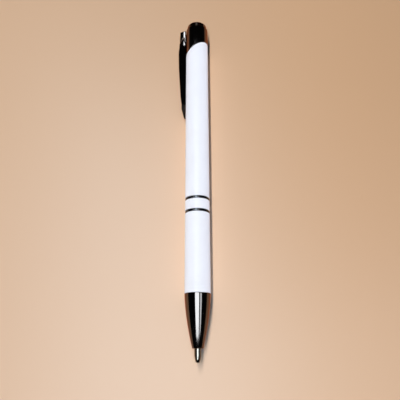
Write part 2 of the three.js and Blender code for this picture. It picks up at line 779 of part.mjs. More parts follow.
// Clip in its own frame, reaching towards +X: a solid root, a bowed channel and a solid end, fitted
// round the barrel, with a lug that sits in the collar's slot
function clip() {
  const crease = CLIP_ROOT_LENGTH;
  const bottom = [crease, CLIP_CREASE_DEPTH];
  const root = clipStretch([[0, 0], [crease - CLIP_CREASE_HALF_WIDTH, 0], bottom], false);
  const channel = [bottom, [crease + CLIP_CREASE_HALF_WIDTH, 0]];
  for (let i = 1; i <= CLIP_STEPS; i += 1) {
    channel.push([mapLinear(i, 0, CLIP_STEPS, crease, CLIP_NECK_FALL), 0]);
  }
  const end = clipStretch([[CLIP_NECK_FALL, 0], [CLIP_BEAD_FALL, 0], [CLIP_LENGTH, 0]], false);
  const lug = solid(lugBlock(0, spigotBore + LUG_FIT, clipReach(LUG_FALL) - CLIP_SHEET / 2));
  const barrelSpace = revolve([
    [0, 0],
    [clipBore, 0],
    [clipBore, overallLength],
    [0, overallLength],
  ], LARGE_SIDES);
  const blade = wasm.Manifold.union([root, clipStretch(channel, true), end]);
  return blade.subtract(barrelSpace).add(lug);
}

// Angle in radians about the pen's axis, below the horizontal, at which the clip meets the surface
// that the barrel lies on: the least over all its corners
function restingLean(body) {
  const { vertProperties } = body.getMesh();
  let lean = Math.PI / 2;
  for (let i = 0; i < vertProperties.length; i += 3) {
    const reach = vertProperties[i];
    const side = Math.abs(vertProperties[i + 2]);
    const distance = Math.hypot(reach, side);
    if (distance > flatRadius) {
      lean = Math.min(lean, Math.asin(flatRadius / distance) - Math.atan2(side, reach));
    }
  }
  return lean;
}

function buildPen() {
  const clipBody = clip();
  const clipAngle = Math.PI - restingLean(clipBody);
  const clipMesh = piece('clip', clipBody, blackChrome);
  clipMesh.rotation.y = clipAngle;
  console.log(`clip lean ${radToDeg(Math.PI - clipAngle).toFixed(3)} degrees`);

  const pen = new THREE.Group();
  pen.add(
    piece('nose_cone', noseCone(), blackChrome),
    piece('nose_insert', noseInsert(), brass),
    piece('lower_barrel', barrelTube(lowerFront, lowerRear), whiteLacquer),
    piece('thread_bush', threadBush(), brass),
    piece('lower_trim_ring', trimRing(lowerRingFront), blackLacquer),
    piece('centre_band', barrelTube(bandFront, bandRear), whiteLacquer),
    piece('upper_trim_ring', trimRing(upperRingFront), blackLacquer),
    piece('centre_coupling', centreCoupling(), brass),
    piece('upper_barrel', upperBarrel(clipAngle), whiteLacquer),
    piece('top_collar', topCollar(clipAngle), blackChrome),
    clipMesh,
    piece('mechanism_body', mechanismBody(), greyPlastic),
    piece('push_button', pushButton(), blackChrome),
    piece('plunger', plunger(), palePlastic),
    piece('cam_rotor', camRotor(), palePlastic),
    piece('refill_tube', refillTube(), steel),
    piece('ink_column', inkColumn(), inkBlue),
    piece('refill_point', refillPoint(), nickel),
    piece('tip_ball', tipBall(), steel),
    piece('return_spring', returnSpring(), steel),
  );

  // The origin is on the flat facet that the barrel lies on, halfway along the pen
  pen.position.set(0, -overallLength / 2, flatRadius);
  return pen;
}

export default buildPen();
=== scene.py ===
"""Pushbutton ballpoint pen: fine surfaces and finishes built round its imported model.

The pen lies on its side with its axis along Y and its point towards -Y. A station is a distance
along the axis from the tip of the ball, and an angle is counted about the axis from straight up
towards +X. Sizes are in millimetres, and meshes in metres.
"""

import json
import logging
import math
from collections.abc import Callable
from dataclasses import dataclass
from enum import Enum

import bmesh
import bpy
import numpy as np
from mathutils import Matrix, Vector

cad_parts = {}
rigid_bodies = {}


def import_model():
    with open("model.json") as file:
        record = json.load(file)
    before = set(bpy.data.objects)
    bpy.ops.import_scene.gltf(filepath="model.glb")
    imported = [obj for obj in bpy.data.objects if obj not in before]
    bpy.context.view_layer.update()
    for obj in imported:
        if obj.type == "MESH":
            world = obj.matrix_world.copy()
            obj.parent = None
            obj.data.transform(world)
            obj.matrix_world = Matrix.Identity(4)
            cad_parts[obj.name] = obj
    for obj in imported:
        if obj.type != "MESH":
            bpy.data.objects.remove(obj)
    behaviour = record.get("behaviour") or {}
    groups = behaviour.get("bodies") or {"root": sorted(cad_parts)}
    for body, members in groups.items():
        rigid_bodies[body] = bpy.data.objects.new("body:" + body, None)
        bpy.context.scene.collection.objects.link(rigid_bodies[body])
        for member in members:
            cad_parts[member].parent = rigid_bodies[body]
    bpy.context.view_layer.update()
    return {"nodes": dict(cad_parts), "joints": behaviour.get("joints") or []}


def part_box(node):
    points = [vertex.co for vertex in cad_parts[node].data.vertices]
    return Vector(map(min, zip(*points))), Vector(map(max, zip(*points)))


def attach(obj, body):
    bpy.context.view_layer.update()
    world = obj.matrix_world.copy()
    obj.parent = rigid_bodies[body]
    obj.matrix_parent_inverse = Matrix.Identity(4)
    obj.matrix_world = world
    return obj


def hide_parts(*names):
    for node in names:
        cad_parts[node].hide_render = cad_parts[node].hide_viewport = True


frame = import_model()

log = logging.getLogger("pen")

Piece = bpy.types.Object
Socket = bpy.types.NodeSocket
Triple = tuple[float, float, float]

MM = 0.001
WEAR_LAYER = "corner"
MERGE_DISTANCE = 2e-7
SHARP_ANGLE = math.radians(32)
ROUND_SIDES = 192
ARC_STEPS = 6
ARC_SHARE = 0.48

SCRATCH_AXIS = (0.3, 0.0, 1.0)
SCRATCH_LEANS = (0.35, -0.6)
SCRATCH_STRETCH = (1.0, 0.06, 1.0)
SCRATCH_PATCH_SCALE = 0.12
DUST_COLOUR = (0.42, 0.38, 0.33, 1.0)

# Where each mask starts, and where it is full.
SCRATCH_PATCH_RANGE = (0.5, 0.62)
SPECK_RANGE = (0.09, 0.05)
RUBBED_RANGE = (0.45, 0.6)
DULLED_RANGE = (0.42, 0.72)


class Pattern(Enum):
    """Fine relief of a finish: its node group, its scale on each axis and its noise's detail.

    Lacquer flows in slow ripples, a lathe tool leaves rings round the axis, drawing leaves lines
    along it, and a mould's skin gives an even grain.
    """

    FLOWED = ("lacquer_flow", (1.0, 1.0, 1.0), 2.0)
    TURNED = ("turning_marks", (0.0, 1.0, 0.0), 3.0)
    DRAWN = ("drawn_grain", (1.0, 0.02, 1.0), 3.0)
    MOULDED = ("moulded_grain", (1.0, 1.0, 1.0), 4.0)


class Duty(Enum):
    """What a lamp is for."""

    LIGHT_ALL = "lights the pen and the floor, and is not seen in the gloss"
    LIGHT_PEN = "fills the shaded sides of the pen alone"
    SHINE = "is seen in the gloss alone"


@dataclass(frozen=True)
class Place:
    """Where the pen lies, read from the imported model."""

    tip: float
    axis_height: float
    barrel_radius: float
    clip_lean: float

    @classmethod
    def from_frame(cls) -> "Place":
        """Reads the place from the boxes of the barrel and the ball, and from the clip's joint.

        Returns:
            The place, in metres and radians.
        """
        low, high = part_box("lower_barrel")
        flex = next(joint for joint in frame["joints"] if joint["name"] == "clip_flex")
        return cls(
            tip=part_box("tip_ball")[0].y,
            axis_height=(low.z + high.z) / 2,
            barrel_radius=(high.z - low.z) / 2,
            clip_lean=math.atan2(flex["axis"][0], -flex["axis"][2]),
        )

    @property
    def clip_angle(self) -> float:
        """Angle about the axis at which the clip stands."""
        return math.atan2(-math.cos(self.clip_lean), -math.sin(self.clip_lean))

    def along_pen(self, radius: np.ndarray, angle: np.ndarray, station: np.ndarray) -> np.ndarray:
        """Turns radius, angle and station into points.

        The point is (r sin a, tip + s, height + r cos a).

        Args:
            radius: Distances from the pen's axis in metres.
            angle: Angles about the axis.
            station: Stations in metres.

        Returns:
            Points in the row frame, with the coordinates last.
        """
        across = radius * np.sin(angle)
        up = self.axis_height + radius * np.cos(angle)
        return np.stack(np.broadcast_arrays(across, self.tip + station, up), axis=-1)

    def from_clip(self, reach: np.ndarray, station: np.ndarray, side: np.ndarray) -> np.ndarray:
        """Turns the clip's own coordinates into points.

        The clip's frame is the pen's turned about its axis by half a turn less the lean, so that
        reach points to the left and down, and side points down and to the right.

        Args:
            reach: Distances from the axis towards the clip, in metres.
            station: Stations in metres.
            side: Distances across the clip in metres.

        Returns:
            Points in the row frame, with the coordinates last.
        """
        cosine, sine = math.cos(self.clip_lean), math.sin(self.clip_lean)
        across = -reach * cosine + side * sine
        up = self.axis_height - reach * sine - side * cosine
        return np.stack(np.broadcast_arrays(across, self.tip + station, up), axis=-1)


PLACE = Place.from_frame()


class Sheet:
    """Places and links the nodes of one node tree."""

    def __init__(self, tree: bpy.types.NodeTree) -> None:
        """Keeps the tree that the nodes go into."""
        self.tree = tree

    @classmethod
    def cleared(cls, owner: bpy.types.Material | bpy.types.World) -> "Sheet":
        """Empties the node tree of a material or a world.

        Args:
            owner: What has the tree.

        Returns:
            The sheet of that tree.
        """
        owner.use_nodes = True
        owner.node_tree.nodes.clear()
        return cls(owner.node_tree)

    def add(self, kind: str, *values: object, **named: object) -> bpy.types.Node:
        """Adds a node.

        Args:
            kind: The node's type without its ShaderNode prefix.
            *values: What goes into its first inputs, in order. A socket is linked to the input,
                and anything else becomes the input's value.
            **named: Properties of the node in small letters, and inputs by their names, with
                underscores for spaces.

        Returns:
            The new node.
        """
        node = self.tree.nodes.new("ShaderNode" + kind)
        for key, value in named.items():
            if key.islower():
                setattr(node, key, value)
        for socket, value in zip(node.inputs, values):
            self.feed(socket, value)
        for key, value in named.items():
            if not key.islower():
                self.feed(node.inputs[key.replace("_", " ")], value)
        return node

    def feed(self, socket: Socket, value: object) -> None:
        """Gives an input its link or its value.

        Args:
            socket: The input.
            value: An output to link to it, or a plain value.
        """
        if isinstance(value, Socket):
            self.tree.links.new(value, socket)
        else:
            socket.default_value = value

    def math(self, operation: str, *values: object) -> Socket:
        """Adds a Math node and returns its result."""
        return self.add("Math", *values, operation=operation).outputs[0]

    def stretch(self, vector: Socket, scale: Triple) -> Socket:
        """Adds a vector scaled by a factor on each axis and returns it."""
        return self.add("VectorMath", vector, scale, operation="MULTIPLY").outputs[0]

    def grow(self, vector: Socket, factor: object) -> Socket:
        """Adds a vector scaled by one factor and returns it."""
        return self.add("VectorMath", vector, operation="SCALE", Scale=factor).outputs[0]

    def noise(self, vector: Socket, detail: float = 2.0) -> Socket:
        """Adds a Noise Texture at scale 1 and returns its factor."""
        return self.add("TexNoise", Vector=vector, Scale=1.0, Detail=detail).outputs["Fac"]

    def between(self, value: Socket, low: object, high: object) -> Socket:
        """Adds a Map Range node that takes low to 0 and high to 1, and returns its result."""
        return self.add("MapRange", value, low, high, 0.0, 1.0, interpolation_type="SMOOTHSTEP").outputs[0]

    def blend(self, share: object, first: object, second: object, kind: str = "MIX") -> Socket:
        """Adds a mix of two colours.

        Args:
            share: How much of the second there is.
            first: The first colour.
            second: The second colour.
            kind: The way that they are mixed.

        Returns:
            The mixed colour.
        """
        node = self.add("Mix", data_type="RGBA", blend_type=kind, Factor=share)
        self.feed(node.inputs[6], first)
        self.feed(node.inputs[7], second)
        return node.outputs[2]


@dataclass(frozen=True)
class Effect:
    """Shader node group that several finishes use, with the function that adds its nodes."""

    name: str
    output: str
    make: Callable[[Sheet, dict[str, Socket]], Socket]
    size: float = 1.0
    share: float | None = None

    def group(self) -> bpy.types.NodeTree:
        """Finds the group, or builds it at its first use.

        Its inputs are Vector, Size and, where the effect has one, Share. Its nodes are made from
        these and from Spread, which is the vector over the size.

        Returns:
            The node group.
        """
        found = bpy.data.node_groups.get(self.name)
        if found:
            return found
        tree = bpy.data.node_groups.new(self.name, "ShaderNodeTree")
        tree.interface.new_socket("Vector", in_out="INPUT", socket_type="NodeSocketVector")
        for label, value in (("Size", self.size), ("Share", self.share)):
            if value is not None:
                item = tree.interface.new_socket(label, in_out="INPUT", socket_type="NodeSocketFloat")
                item.default_value = value
        tree.interface.new_socket(self.output, in_out="OUTPUT", socket_type="NodeSocketFloat")
        entry = tree.nodes.new("NodeGroupInput")
        leave = tree.nodes.new("NodeGroupOutput")
        sheet = Sheet(tree)
        given = {socket.name: socket for socket in entry.outputs if socket.name}
        given["Spread"] = sheet.grow(given["Vector"], sheet.math("DIVIDE", 1.0, given["Size"]))
        tree.links.new(self.make(sheet, given), leave.inputs[0])
        return tree

    def place(self, sheet: Sheet, vector: Socket, **sizes: float) -> Socket:
        """Places the group in a sheet and returns its output."""
        return sheet.add("Group", node_tree=self.group(), Vector=vector, **sizes).outputs[0]


def relief(pattern: Pattern) -> Effect:
    """Describes the group for a pattern's height, which is noise scaled on each axis.

    Args:
        pattern: The pattern.

    Returns:
        The effect, whose size is set where it is placed.
    """
    name, scale, detail = pattern.value

    def height(sheet: Sheet, given: dict[str, Socket]) -> Socket:
        """Adds the pattern's noise and returns it."""
        return sheet.noise(sheet.stretch(given["Spread"], scale), detail)

    return Effect(name, "Height", height)


def hair_scratches(sheet: Sheet, given: dict[str, Socket]) -> Socket:
    """Adds marks of use, which are the thin crests of two noises that lean opposite ways.

    Args:
        sheet: The group's sheet.
        given: The group's inputs.

    Returns:
        The mask.
    """
    spread = given["Spread"]
    masks = []
    for lean in SCRATCH_LEANS:
        leaning = sheet.add(
            "VectorRotate", rotation_type="AXIS_ANGLE", Vector=spread, Axis=SCRATCH_AXIS, Angle=lean
        )
        lines = sheet.noise(sheet.stretch(leaning.outputs[0], SCRATCH_STRETCH), 1.0)
        crest = sheet.math("ABSOLUTE", sheet.math("SUBTRACT", lines, 0.5))
        masks.append(sheet.between(crest, given["Share"], 0.0))
    patches = sheet.noise(sheet.grow(spread, SCRATCH_PATCH_SCALE))
    marked = sheet.between(patches, *SCRATCH_PATCH_RANGE)
    return sheet.math("MULTIPLY", sheet.math("MAXIMUM", *masks), marked)


def dust_specks(sheet: Sheet, given: dict[str, Socket]) -> Socket:
    """Adds sparse specks, which are the centres of a few cells of a Voronoi Texture.

    Args:
        sheet: The group's sheet.
        given: The group's inputs.

    Returns:
        The mask.
    """
    cells = sheet.add("TexVoronoi", Vector=given["Spread"], Scale=1.0)
    speck = sheet.between(cells.outputs["Distance"], *SPECK_RANGE)
    chosen = sheet.add("SeparateColor", Color=cells.outputs["Color"]).outputs[0]
    return sheet.math("MULTIPLY", speck, sheet.math("LESS_THAN", chosen, given["Share"]))


def rubbed_corners(sheet: Sheet, given: dict[str, Socket]) -> Socket:
    """Adds the corner layer of the mesh, broken into patches by noise."""
    layer = sheet.add("Attribute", attribute_name=WEAR_LAYER).outputs["Fac"]
    return sheet.math("MULTIPLY", layer, sheet.between(sheet.noise(given["Spread"], 4.0), *RUBBED_RANGE))


def dulled_patches(sheet: Sheet, given: dict[str, Socket]) -> Socket:
    """Adds the soft patches where fingers have dulled the gloss."""
    return sheet.between(sheet.noise(given["Spread"], 3.0), *DULLED_RANGE)


HANDLING = Effect("handling", "Mask", dulled_patches, size=0.009)
SCRATCHES = Effect("fine_scratches", "Mask", hair_scratches, size=0.0007, share=0.012)
DUST = Effect("dust_specks", "Mask", dust_specks, size=0.0011, share=0.08)
RUBBED = Effect("rubbed_corners", "Mask", rubbed_corners, size=0.0009)


@dataclass(frozen=True)
class Finish:
    """One material: its colours, its gloss, and the relief and wear on it. Sizes are in metres.

    Its roughness lies between gloss and dull, and its grain is the size of its pattern.
    """

    slot: str
    colour: Triple
    second: Triple
    rubbed: Triple
    gloss: float
    dull: float
    pattern: Pattern
    grain: float
    height: float
    metallic: float = 1.0
    rubbed_share: float = 0.5
    dust_share: float = 0.5
    mark_roughness: float = 0.12
    ior: float = 1.5
    edge_tint: Triple = (1.0, 1.0, 1.0)

    def material(self) -> bpy.types.Material:
        """Finds the finish's material, or builds it at its first use.

        Returns:
            The material.
        """
        name = f"{self.slot}_finish"
        found = bpy.data.materials.get(name)
        if found:
            return found
        made = bpy.data.materials.new(name)
        sheet = Sheet.cleared(made)
        where = sheet.add("TexCoord").outputs["Object"]
        effects = (HANDLING, SCRATCHES, DUST, RUBBED)
        handled, scratched, dusty, worn = (effect.place(sheet, where) for effect in effects)
        colour = sheet.blend(handled, (*self.colour, 1.0), (*self.second, 1.0))
        colour = sheet.blend(sheet.math("MULTIPLY", worn, self.rubbed_share), colour, (*self.rubbed, 1.0))
        colour = sheet.blend(sheet.math("MULTIPLY", dusty, self.dust_share), colour, DUST_COLOUR)
        roughness = sheet.math("MULTIPLY_ADD", handled, self.dull - self.gloss, self.gloss)
        for marks in (scratched, dusty):
            roughness = sheet.math("ADD", roughness, sheet.math("MULTIPLY", marks, self.mark_roughness))
        height = relief(self.pattern).place(sheet, where, Size=self.grain)
        shader = sheet.add(
            "BsdfPrincipled",
            Base_Color=colour,
            Metallic=self.metallic,
            Roughness=roughness,
            IOR=self.ior,
            Specular_Tint=(*self.edge_tint, 1.0),
            Normal=sheet.add("Bump", Strength=1.0, Distance=self.height, Height=height).outputs[0],
        )
        sheet.add("OutputMaterial", Surface=shader.outputs[0])
        made.diffuse_color = (*self.colour, 1.0)
        return made


WHITE_LACQUER = Finish(
    slot="white_lacquer",
    colour=(0.765, 0.785, 0.815),
    second=(0.755, 0.77, 0.795),
    rubbed=(0.62, 0.6, 0.58),
    gloss=0.09,
    dull=0.15,
    pattern=Pattern.FLOWED,
    grain=0.0018,
    height=3e-6,
    metallic=0.0,
    rubbed_share=0.25,
    dust_share=0.12,
    ior=1.22,
)

BLACK_LACQUER = Finish(
    slot="black_lacquer",
    colour=(0.003, 0.003, 0.005),
    second=(0.004, 0.004, 0.006),
    rubbed=(0.02, 0.02, 0.024),
    gloss=0.07,
    dull=0.14,
    pattern=Pattern.FLOWED,
    grain=0.0012,
    height=2e-6,
    metallic=0.0,
    dust_share=0.03,
    ior=1.7,
)

BLACK_CHROME = Finish(
    slot="black_chrome",
    colour=(0.175, 0.146, 0.132),
    second=(0.157, 0.13, 0.118),
    rubbed=(0.3, 0.28, 0.27),
    gloss=0.045,
    dull=0.11,
    pattern=Pattern.TURNED,
    grain=0.00012,
    height=4e-8,
    dust_share=0.2,
    edge_tint=(1.0, 0.5, 0.35),
)

BRASS = Finish(
    slot="brass",
    colour=(0.70, 0.50, 0.22),
    second=(0.58, 0.40, 0.19),
    rubbed=(0.86, 0.70, 0.42),
    gloss=0.2,
    dull=0.36,
    pattern=Pattern.TURNED,
    grain=0.00009,
    height=1.5e-6,
)

MECHANISM_PLASTIC = Finish(
    slot="mechanism_plastic",
    colour=(0.085, 0.095, 0.11),
    second=(0.105, 0.115, 0.13),
    rubbed=(0.2, 0.21, 0.23),
    gloss=0.38,
    dull=0.5,
    pattern=Pattern.MOULDED,
    grain=0.00022,
    height=4e-6,
    metallic=0.0,
)

PALE_PLASTIC = Finish(
    slot="pale_plastic",
    colour=(0.76, 0.75, 0.70),
    second=(0.70, 0.68, 0.62),
    rubbed=(0.84, 0.83, 0.8),
    gloss=0.36,
    dull=0.48,
    pattern=Pattern.MOULDED,
    grain=0.00022,
    height=4e-6,
    metallic=0.0,
)

REFILL_STEEL = Finish(
    slot="refill_steel",
    colour=(0.55, 0.55, 0.56),
    second=(0.47, 0.47, 0.48),
    rubbed=(0.7, 0.7, 0.7),
    gloss=0.24,
    dull=0.38,
    pattern=Pattern.DRAWN,
    grain=0.00012,
    height=2e-6,
)

INK = Finish(
    slot="ink",
    colour=(0.008, 0.012, 0.075),
    second=(0.006, 0.009, 0.05),
    rubbed=(0.01, 0.015, 0.09),
    gloss=0.12,
    dull=0.2,
    pattern=Pattern.FLOWED,
    grain=0.0009,
    height=8e-6,
    metallic=0.0,
    dust_share=0.0,
)

POINT_METAL = Finish(
    slot="point_metal",
    colour=(0.25, 0.215, 0.18),
    second=(0.2, 0.17, 0.14),
    rubbed=(0.6, 0.54, 0.46),
    gloss=0.1,
    dull=0.18,
    pattern=Pattern.TURNED,
    grain=0.00005,
    height=2e-7,
)

BALL_STEEL = Finish(
    slot="ball_steel",
    colour=(0.6, 0.6, 0.61),
    second=(0.5, 0.5, 0.52),
    rubbed=(0.65, 0.65, 0.66),
    gloss=0.06,
    dull=0.12,
    pattern=Pattern.MOULDED,
    grain=0.0001,
    height=1e-7,
)

SPRING_STEEL = Finish(
    slot="spring_steel",
    colour=(0.6, 0.6, 0.61),
    second=(0.52, 0.52, 0.53),
    rubbed=(0.7, 0.7, 0.71),
    gloss=0.2,
    dull=0.3,
    pattern=Pattern.DRAWN,
    grain=0.00008,
    height=1e-6,
)


def show(name: str, data: bpy.types.ID) -> Piece:
    """Puts new data into the scene.

    Args:
        name: The object's name.
        data: Its mesh, lamp or camera.

    Returns:
        The linked object.
    """
    item = bpy.data.objects.new(name, data)
    bpy.context.scene.collection.objects.link(item)
    return item


def mesh_object(
    name: str,
    points: np.ndarray,
    close_rows: bool = False,
    caps: bool = False,
    corner: np.ndarray | None = None,
) -> Piece:
    """Makes an object from a grid of points, with its faces pointing out.

    Each face joins points (i, j), (i + 1, j), (i + 1, j + 1) and (i, j + 1), and the last column
    joins the first. Rows that meet in one point close to a pole when equal points are merged.

    Args:
        name: The piece's name.
        points: Rows by columns by three coordinates.
        close_rows: Whether the last row joins the first.
        caps: Whether the first and last rows are closed by flat ends.
        corner: How much each point lies on a rounded corner, from 0 to 1, rows by columns.

    Returns:
        The linked object.
    """
    rows, columns = points.shape[:2]
    row = np.arange(rows if close_rows else rows - 1)[:, None]
    column = np.arange(columns)[None, :]
    next_row, next_column = (row + 1) % rows, (column + 1) % columns
    corners = (
        row * columns + column,
        next_row * columns + column,
        next_row * columns + next_column,
        row * columns + next_column,
    )
    faces = np.stack(np.broadcast_arrays(*corners), axis=-1).reshape(-1, 4).tolist()
    if caps:
        faces.append(list(range(columns))[::-1])
        faces.append([(rows - 1) * columns + j for j in range(columns)])
    mesh = bpy.data.meshes.new(name)
    mesh.from_pydata(points.reshape(-1, 3), [], faces)
    layer = mesh.attributes.new(WEAR_LAYER, "FLOAT", "POINT")
    values = np.zeros((rows, columns)) if corner is None else corner
    layer.data.foreach_set("value", values.astype(np.float32).ravel())
    shell = show(name, mesh)
    tidy_mesh(shell)
    return shell


def tidy_mesh(shell: Piece) -> None:
    """Merges equal points, turns the faces out, and smooths all but the sharp edges.

    Args:
        shell: The object whose mesh is changed.
    """
    work = bmesh.new()
    work.from_mesh(shell.data)
    bmesh.ops.remove_doubles(work, verts=work.verts, dist=MERGE_DISTANCE)
    bmesh.ops.dissolve_degenerate(work, dist=MERGE_DISTANCE, edges=work.edges)
    bmesh.ops.recalc_face_normals(work, faces=work.faces)
    work.to_mesh(shell.data)
    work.free()
    shell.data.shade_smooth()
    shell.data.set_sharp_from_angle(angle=SHARP_ANGLE)


@dataclass(frozen=True)
class Corner:
    """Corner of a turned outline in millimetres.

    Slant is how much of the slanted cut's rise and fall the corner follows.
    """

    radius: float
    station: float
    fillet: float = 0.0
    slant: float = 0.0


@dataclass(frozen=True)
class Outline:
    """Half section of a turned piece, with its corners rounded."""

    corners: list[Corner]
    closed: bool = True

    def rounded(self) -> np.ndarray:
        """Works out the outline's points.

        Returns:
            An array of radius, station, slant and closeness to a corner, one row for each point.
        """
        rows: list[tuple[float, float, float, float]] = []
        count = len(self.corners)
        for index, corner in enumerate(self.corners):
            loose_end = not self.closed and index in (0, count - 1)
            if loose_end or corner.fillet == 0:
                rows.append((corner.radius, corner.station, corner.slant, 0.0))
            else:
                rows += self._arc(self.corners[index - 1], corner, self.corners[(index + 1) % count])
        return np.array(rows)

    @staticmethod
    def _arc(before: Corner, corner: Corner, after: Corner) -> list[tuple[float, float, float, float]]:
        """Rounds one corner.

        The arc touches both sides of the corner. It has the fillet's radius, or what fits on the
        shorter side. A point just past each of its ends keeps the shading of the sides straight.

        Args:
            before: The corner before this one.
            corner: The corner to be rounded.
            after: The corner after it.

        Returns:
            Rows of radius, station, slant and closeness to the corner.
        """
        point = np.array((corner.radius, corner.station))
        back = np.array((before.radius, before.station)) - point
        ahead = np.array((after.radius, after.station)) - point
        back_length, ahead_length = np.linalg.norm(back), np.linalg.norm(ahead)
        back, ahead = back / back_length, ahead / ahead_length
        half = math.acos(float(np.clip(back @ ahead, -1, 1))) / 2
        touch = min(corner.fillet / math.tan(half), ARC_SHARE * min(back_length, ahead_length))
        middle = (back + ahead) / np.linalg.norm(back + ahead)
        centre = point + middle * touch / math.cos(half)
        start, end = point + back * touch - centre, point + ahead * touch - centre
        first = math.atan2(start[1], start[0])
        sweep = (math.atan2(end[1], end[0]) - first + math.pi) % (2 * math.pi) - math.pi
        reach = float(np.linalg.norm(start))
        rows = []
        for step in range(ARC_STEPS + 1):
            share = step / ARC_STEPS
            angle = first + sweep * share
            radius = centre[0] + reach * math.cos(angle)
            station = centre[1] + reach * math.sin(angle)
            rows.append((radius, station, corner.slant, math.sin(math.pi * share)))
        beyond = []
        for side, length in ((back, back_length), (ahead, ahead_length)):
            past = min(touch / 2, (length - 2 * touch) / 4)
            radius, station = point + side * (touch + past)
            beyond.append((float(radius), float(station), corner.slant, 0.0))
        return [beyond[0], *rows, beyond[1]]


def turned(name: str, outline: Outline, slope: float = 0.0, sides: int = ROUND_SIDES) -> Piece:
    """Makes a piece of revolution about the pen's axis, whose ends may be cut on the slant.

    The point is at (r, a, s - slant * slope * r * cos(a - clip angle)).

    Args:
        name: The piece's name.
        outline: Its half section in millimetres.
        slope: How fast the slanted cut falls towards the clip.
        sides: Points round the axis.

    Returns:
        The piece's object.
    """
    rows = outline.rounded()
    radius, station = rows[:, 0, None] * MM, rows[:, 1, None] * MM
    angle = np.arange(sides)[None, :] * (2 * np.pi / sides)
    fall = rows[:, 2, None] * slope * radius * np.cos(angle - PLACE.clip_angle)
    points = PLACE.along_pen(radius, angle, station - fall)
    corner = np.broadcast_to(rows[:, 3, None], points.shape[:2])
    return mesh_object(name, points, outline.closed, corner=corner)


@dataclass(frozen=True)
class Block:
    """Plain block square to the clip, in millimetres."""

    reach: tuple[float, float]
    station: float
    half_length: float
    half_width: float

    def piece(self, name: str) -> Piece:
        """Makes the block.

        Args:
            name: Its name.

        Returns:
            The block's object.
        """
        inner, outer = self.reach
        reach = np.array((inner, outer, outer, inner))[None, :]
        side = np.array((-1, -1, 1, 1))[None, :] * self.half_width
        ends = np.array((-1, 1))[:, None] * self.half_length + self.station
        return mesh_object(name, PLACE.from_clip(reach * MM, ends * MM, side * MM), caps=True)


def with_boolean(shell: Piece, tool: Piece, operation: str) -> None:
    """Cuts or joins a second mesh into a piece, and removes the second one.

    Args:
        shell: The piece.
        tool: The second one.
        operation: DIFFERENCE or UNION.
    """
    modifier = shell.modifiers.new(operation, "BOOLEAN")
    modifier.operation = operation
    modifier.solver = "EXACT"
    modifier.object = tool
    evaluated = shell.evaluated_get(bpy.context.evaluated_depsgraph_get())
    result = bpy.data.meshes.new_from_object(evaluated)
    shell.modifiers.clear()
    shell.data = result
    result.name = shell.name
    bpy.data.objects.remove(tool)
    tidy_mesh(shell)


def dress(piece: Piece, finish: Finish, body: str, stands_for: str) -> None:
    """Gives a new piece its finish and its body, and hides the solid that it stands for.

    Args:
        piece: The new piece.
        finish: Its finish.
        body: The body that it moves with.
        stands_for: The node that it replaces.
    """
    piece.data.materials.clear()
    piece.data.materials.append(finish.material())
    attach(piece, body)
    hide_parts(stands_for)
    log.info("%s: %d faces, %s", piece.name, len(piece.data.polygons), finish.slot)


def refinish(node: str, finish: Finish) -> None:
    """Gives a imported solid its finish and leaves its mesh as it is.

    Args:
        node: The solid's node.
        finish: Its finish.
    """
    piece = frame["nodes"][node]
    piece.data.materials.clear()
    piece.data.materials.append(finish.material())
    log.info("%s: packed solid, %s", node, finish.slot)


@dataclass(frozen=True)
class Sizes:
    """Sizes in millimetres that more than one sub-assembly uses."""

    barrel_radius: float = PLACE.barrel_radius / MM
    barrel_wall: float = 0.6
    bore_lip: float = 0.05
    seam: float = 0.05
    nose_front: float = 4.6
    nose_rear: float = 22.7
    lower_front: float = 22.75
    lower_rear: float = 51.83
    band_front: float = 52.87
    band_rear: float = 56.78
    ring_width: float = 0.94
    upper_front: float = 57.82
    slant_centre: float = 124.2
    slant_rise: float = 5.7
    mouth: float = 134.85

    @property
    def bore(self) -> float:
        """Radius of the barrels' bore."""
        return self.barrel_radius - self.barrel_wall

    @property
    def slope(self) -> float:
        """How fast the slanted cut falls towards the clip."""
        return self.slant_rise / (2 * self.barrel_radius)

    def tube(
        self, front: float, rear: float, lip: float, recess: float = 0.0, slant: float = 0.0
    ) -> Outline:
        """Works out the half section of a length of barrel.

        Args:
            front: Station of its front end.
            rear: Station of its rear end.
            lip: Radius that its outer edges are rounded to.
            recess: How far it lies below the barrel's surface.
            slant: How much of the slanted cut its rear end follows.

        Returns:
            The closed outline.
        """
        outer = self.barrel_radius - recess
        return Outline(
            [
                Corner(self.bore, front, self.bore_lip),
                Corner(outer, front, lip),
                Corner(outer, rear, lip, slant),
                Corner(self.bore, rear, self.bore_lip, slant),
            ]
        )


SIZES = Sizes()


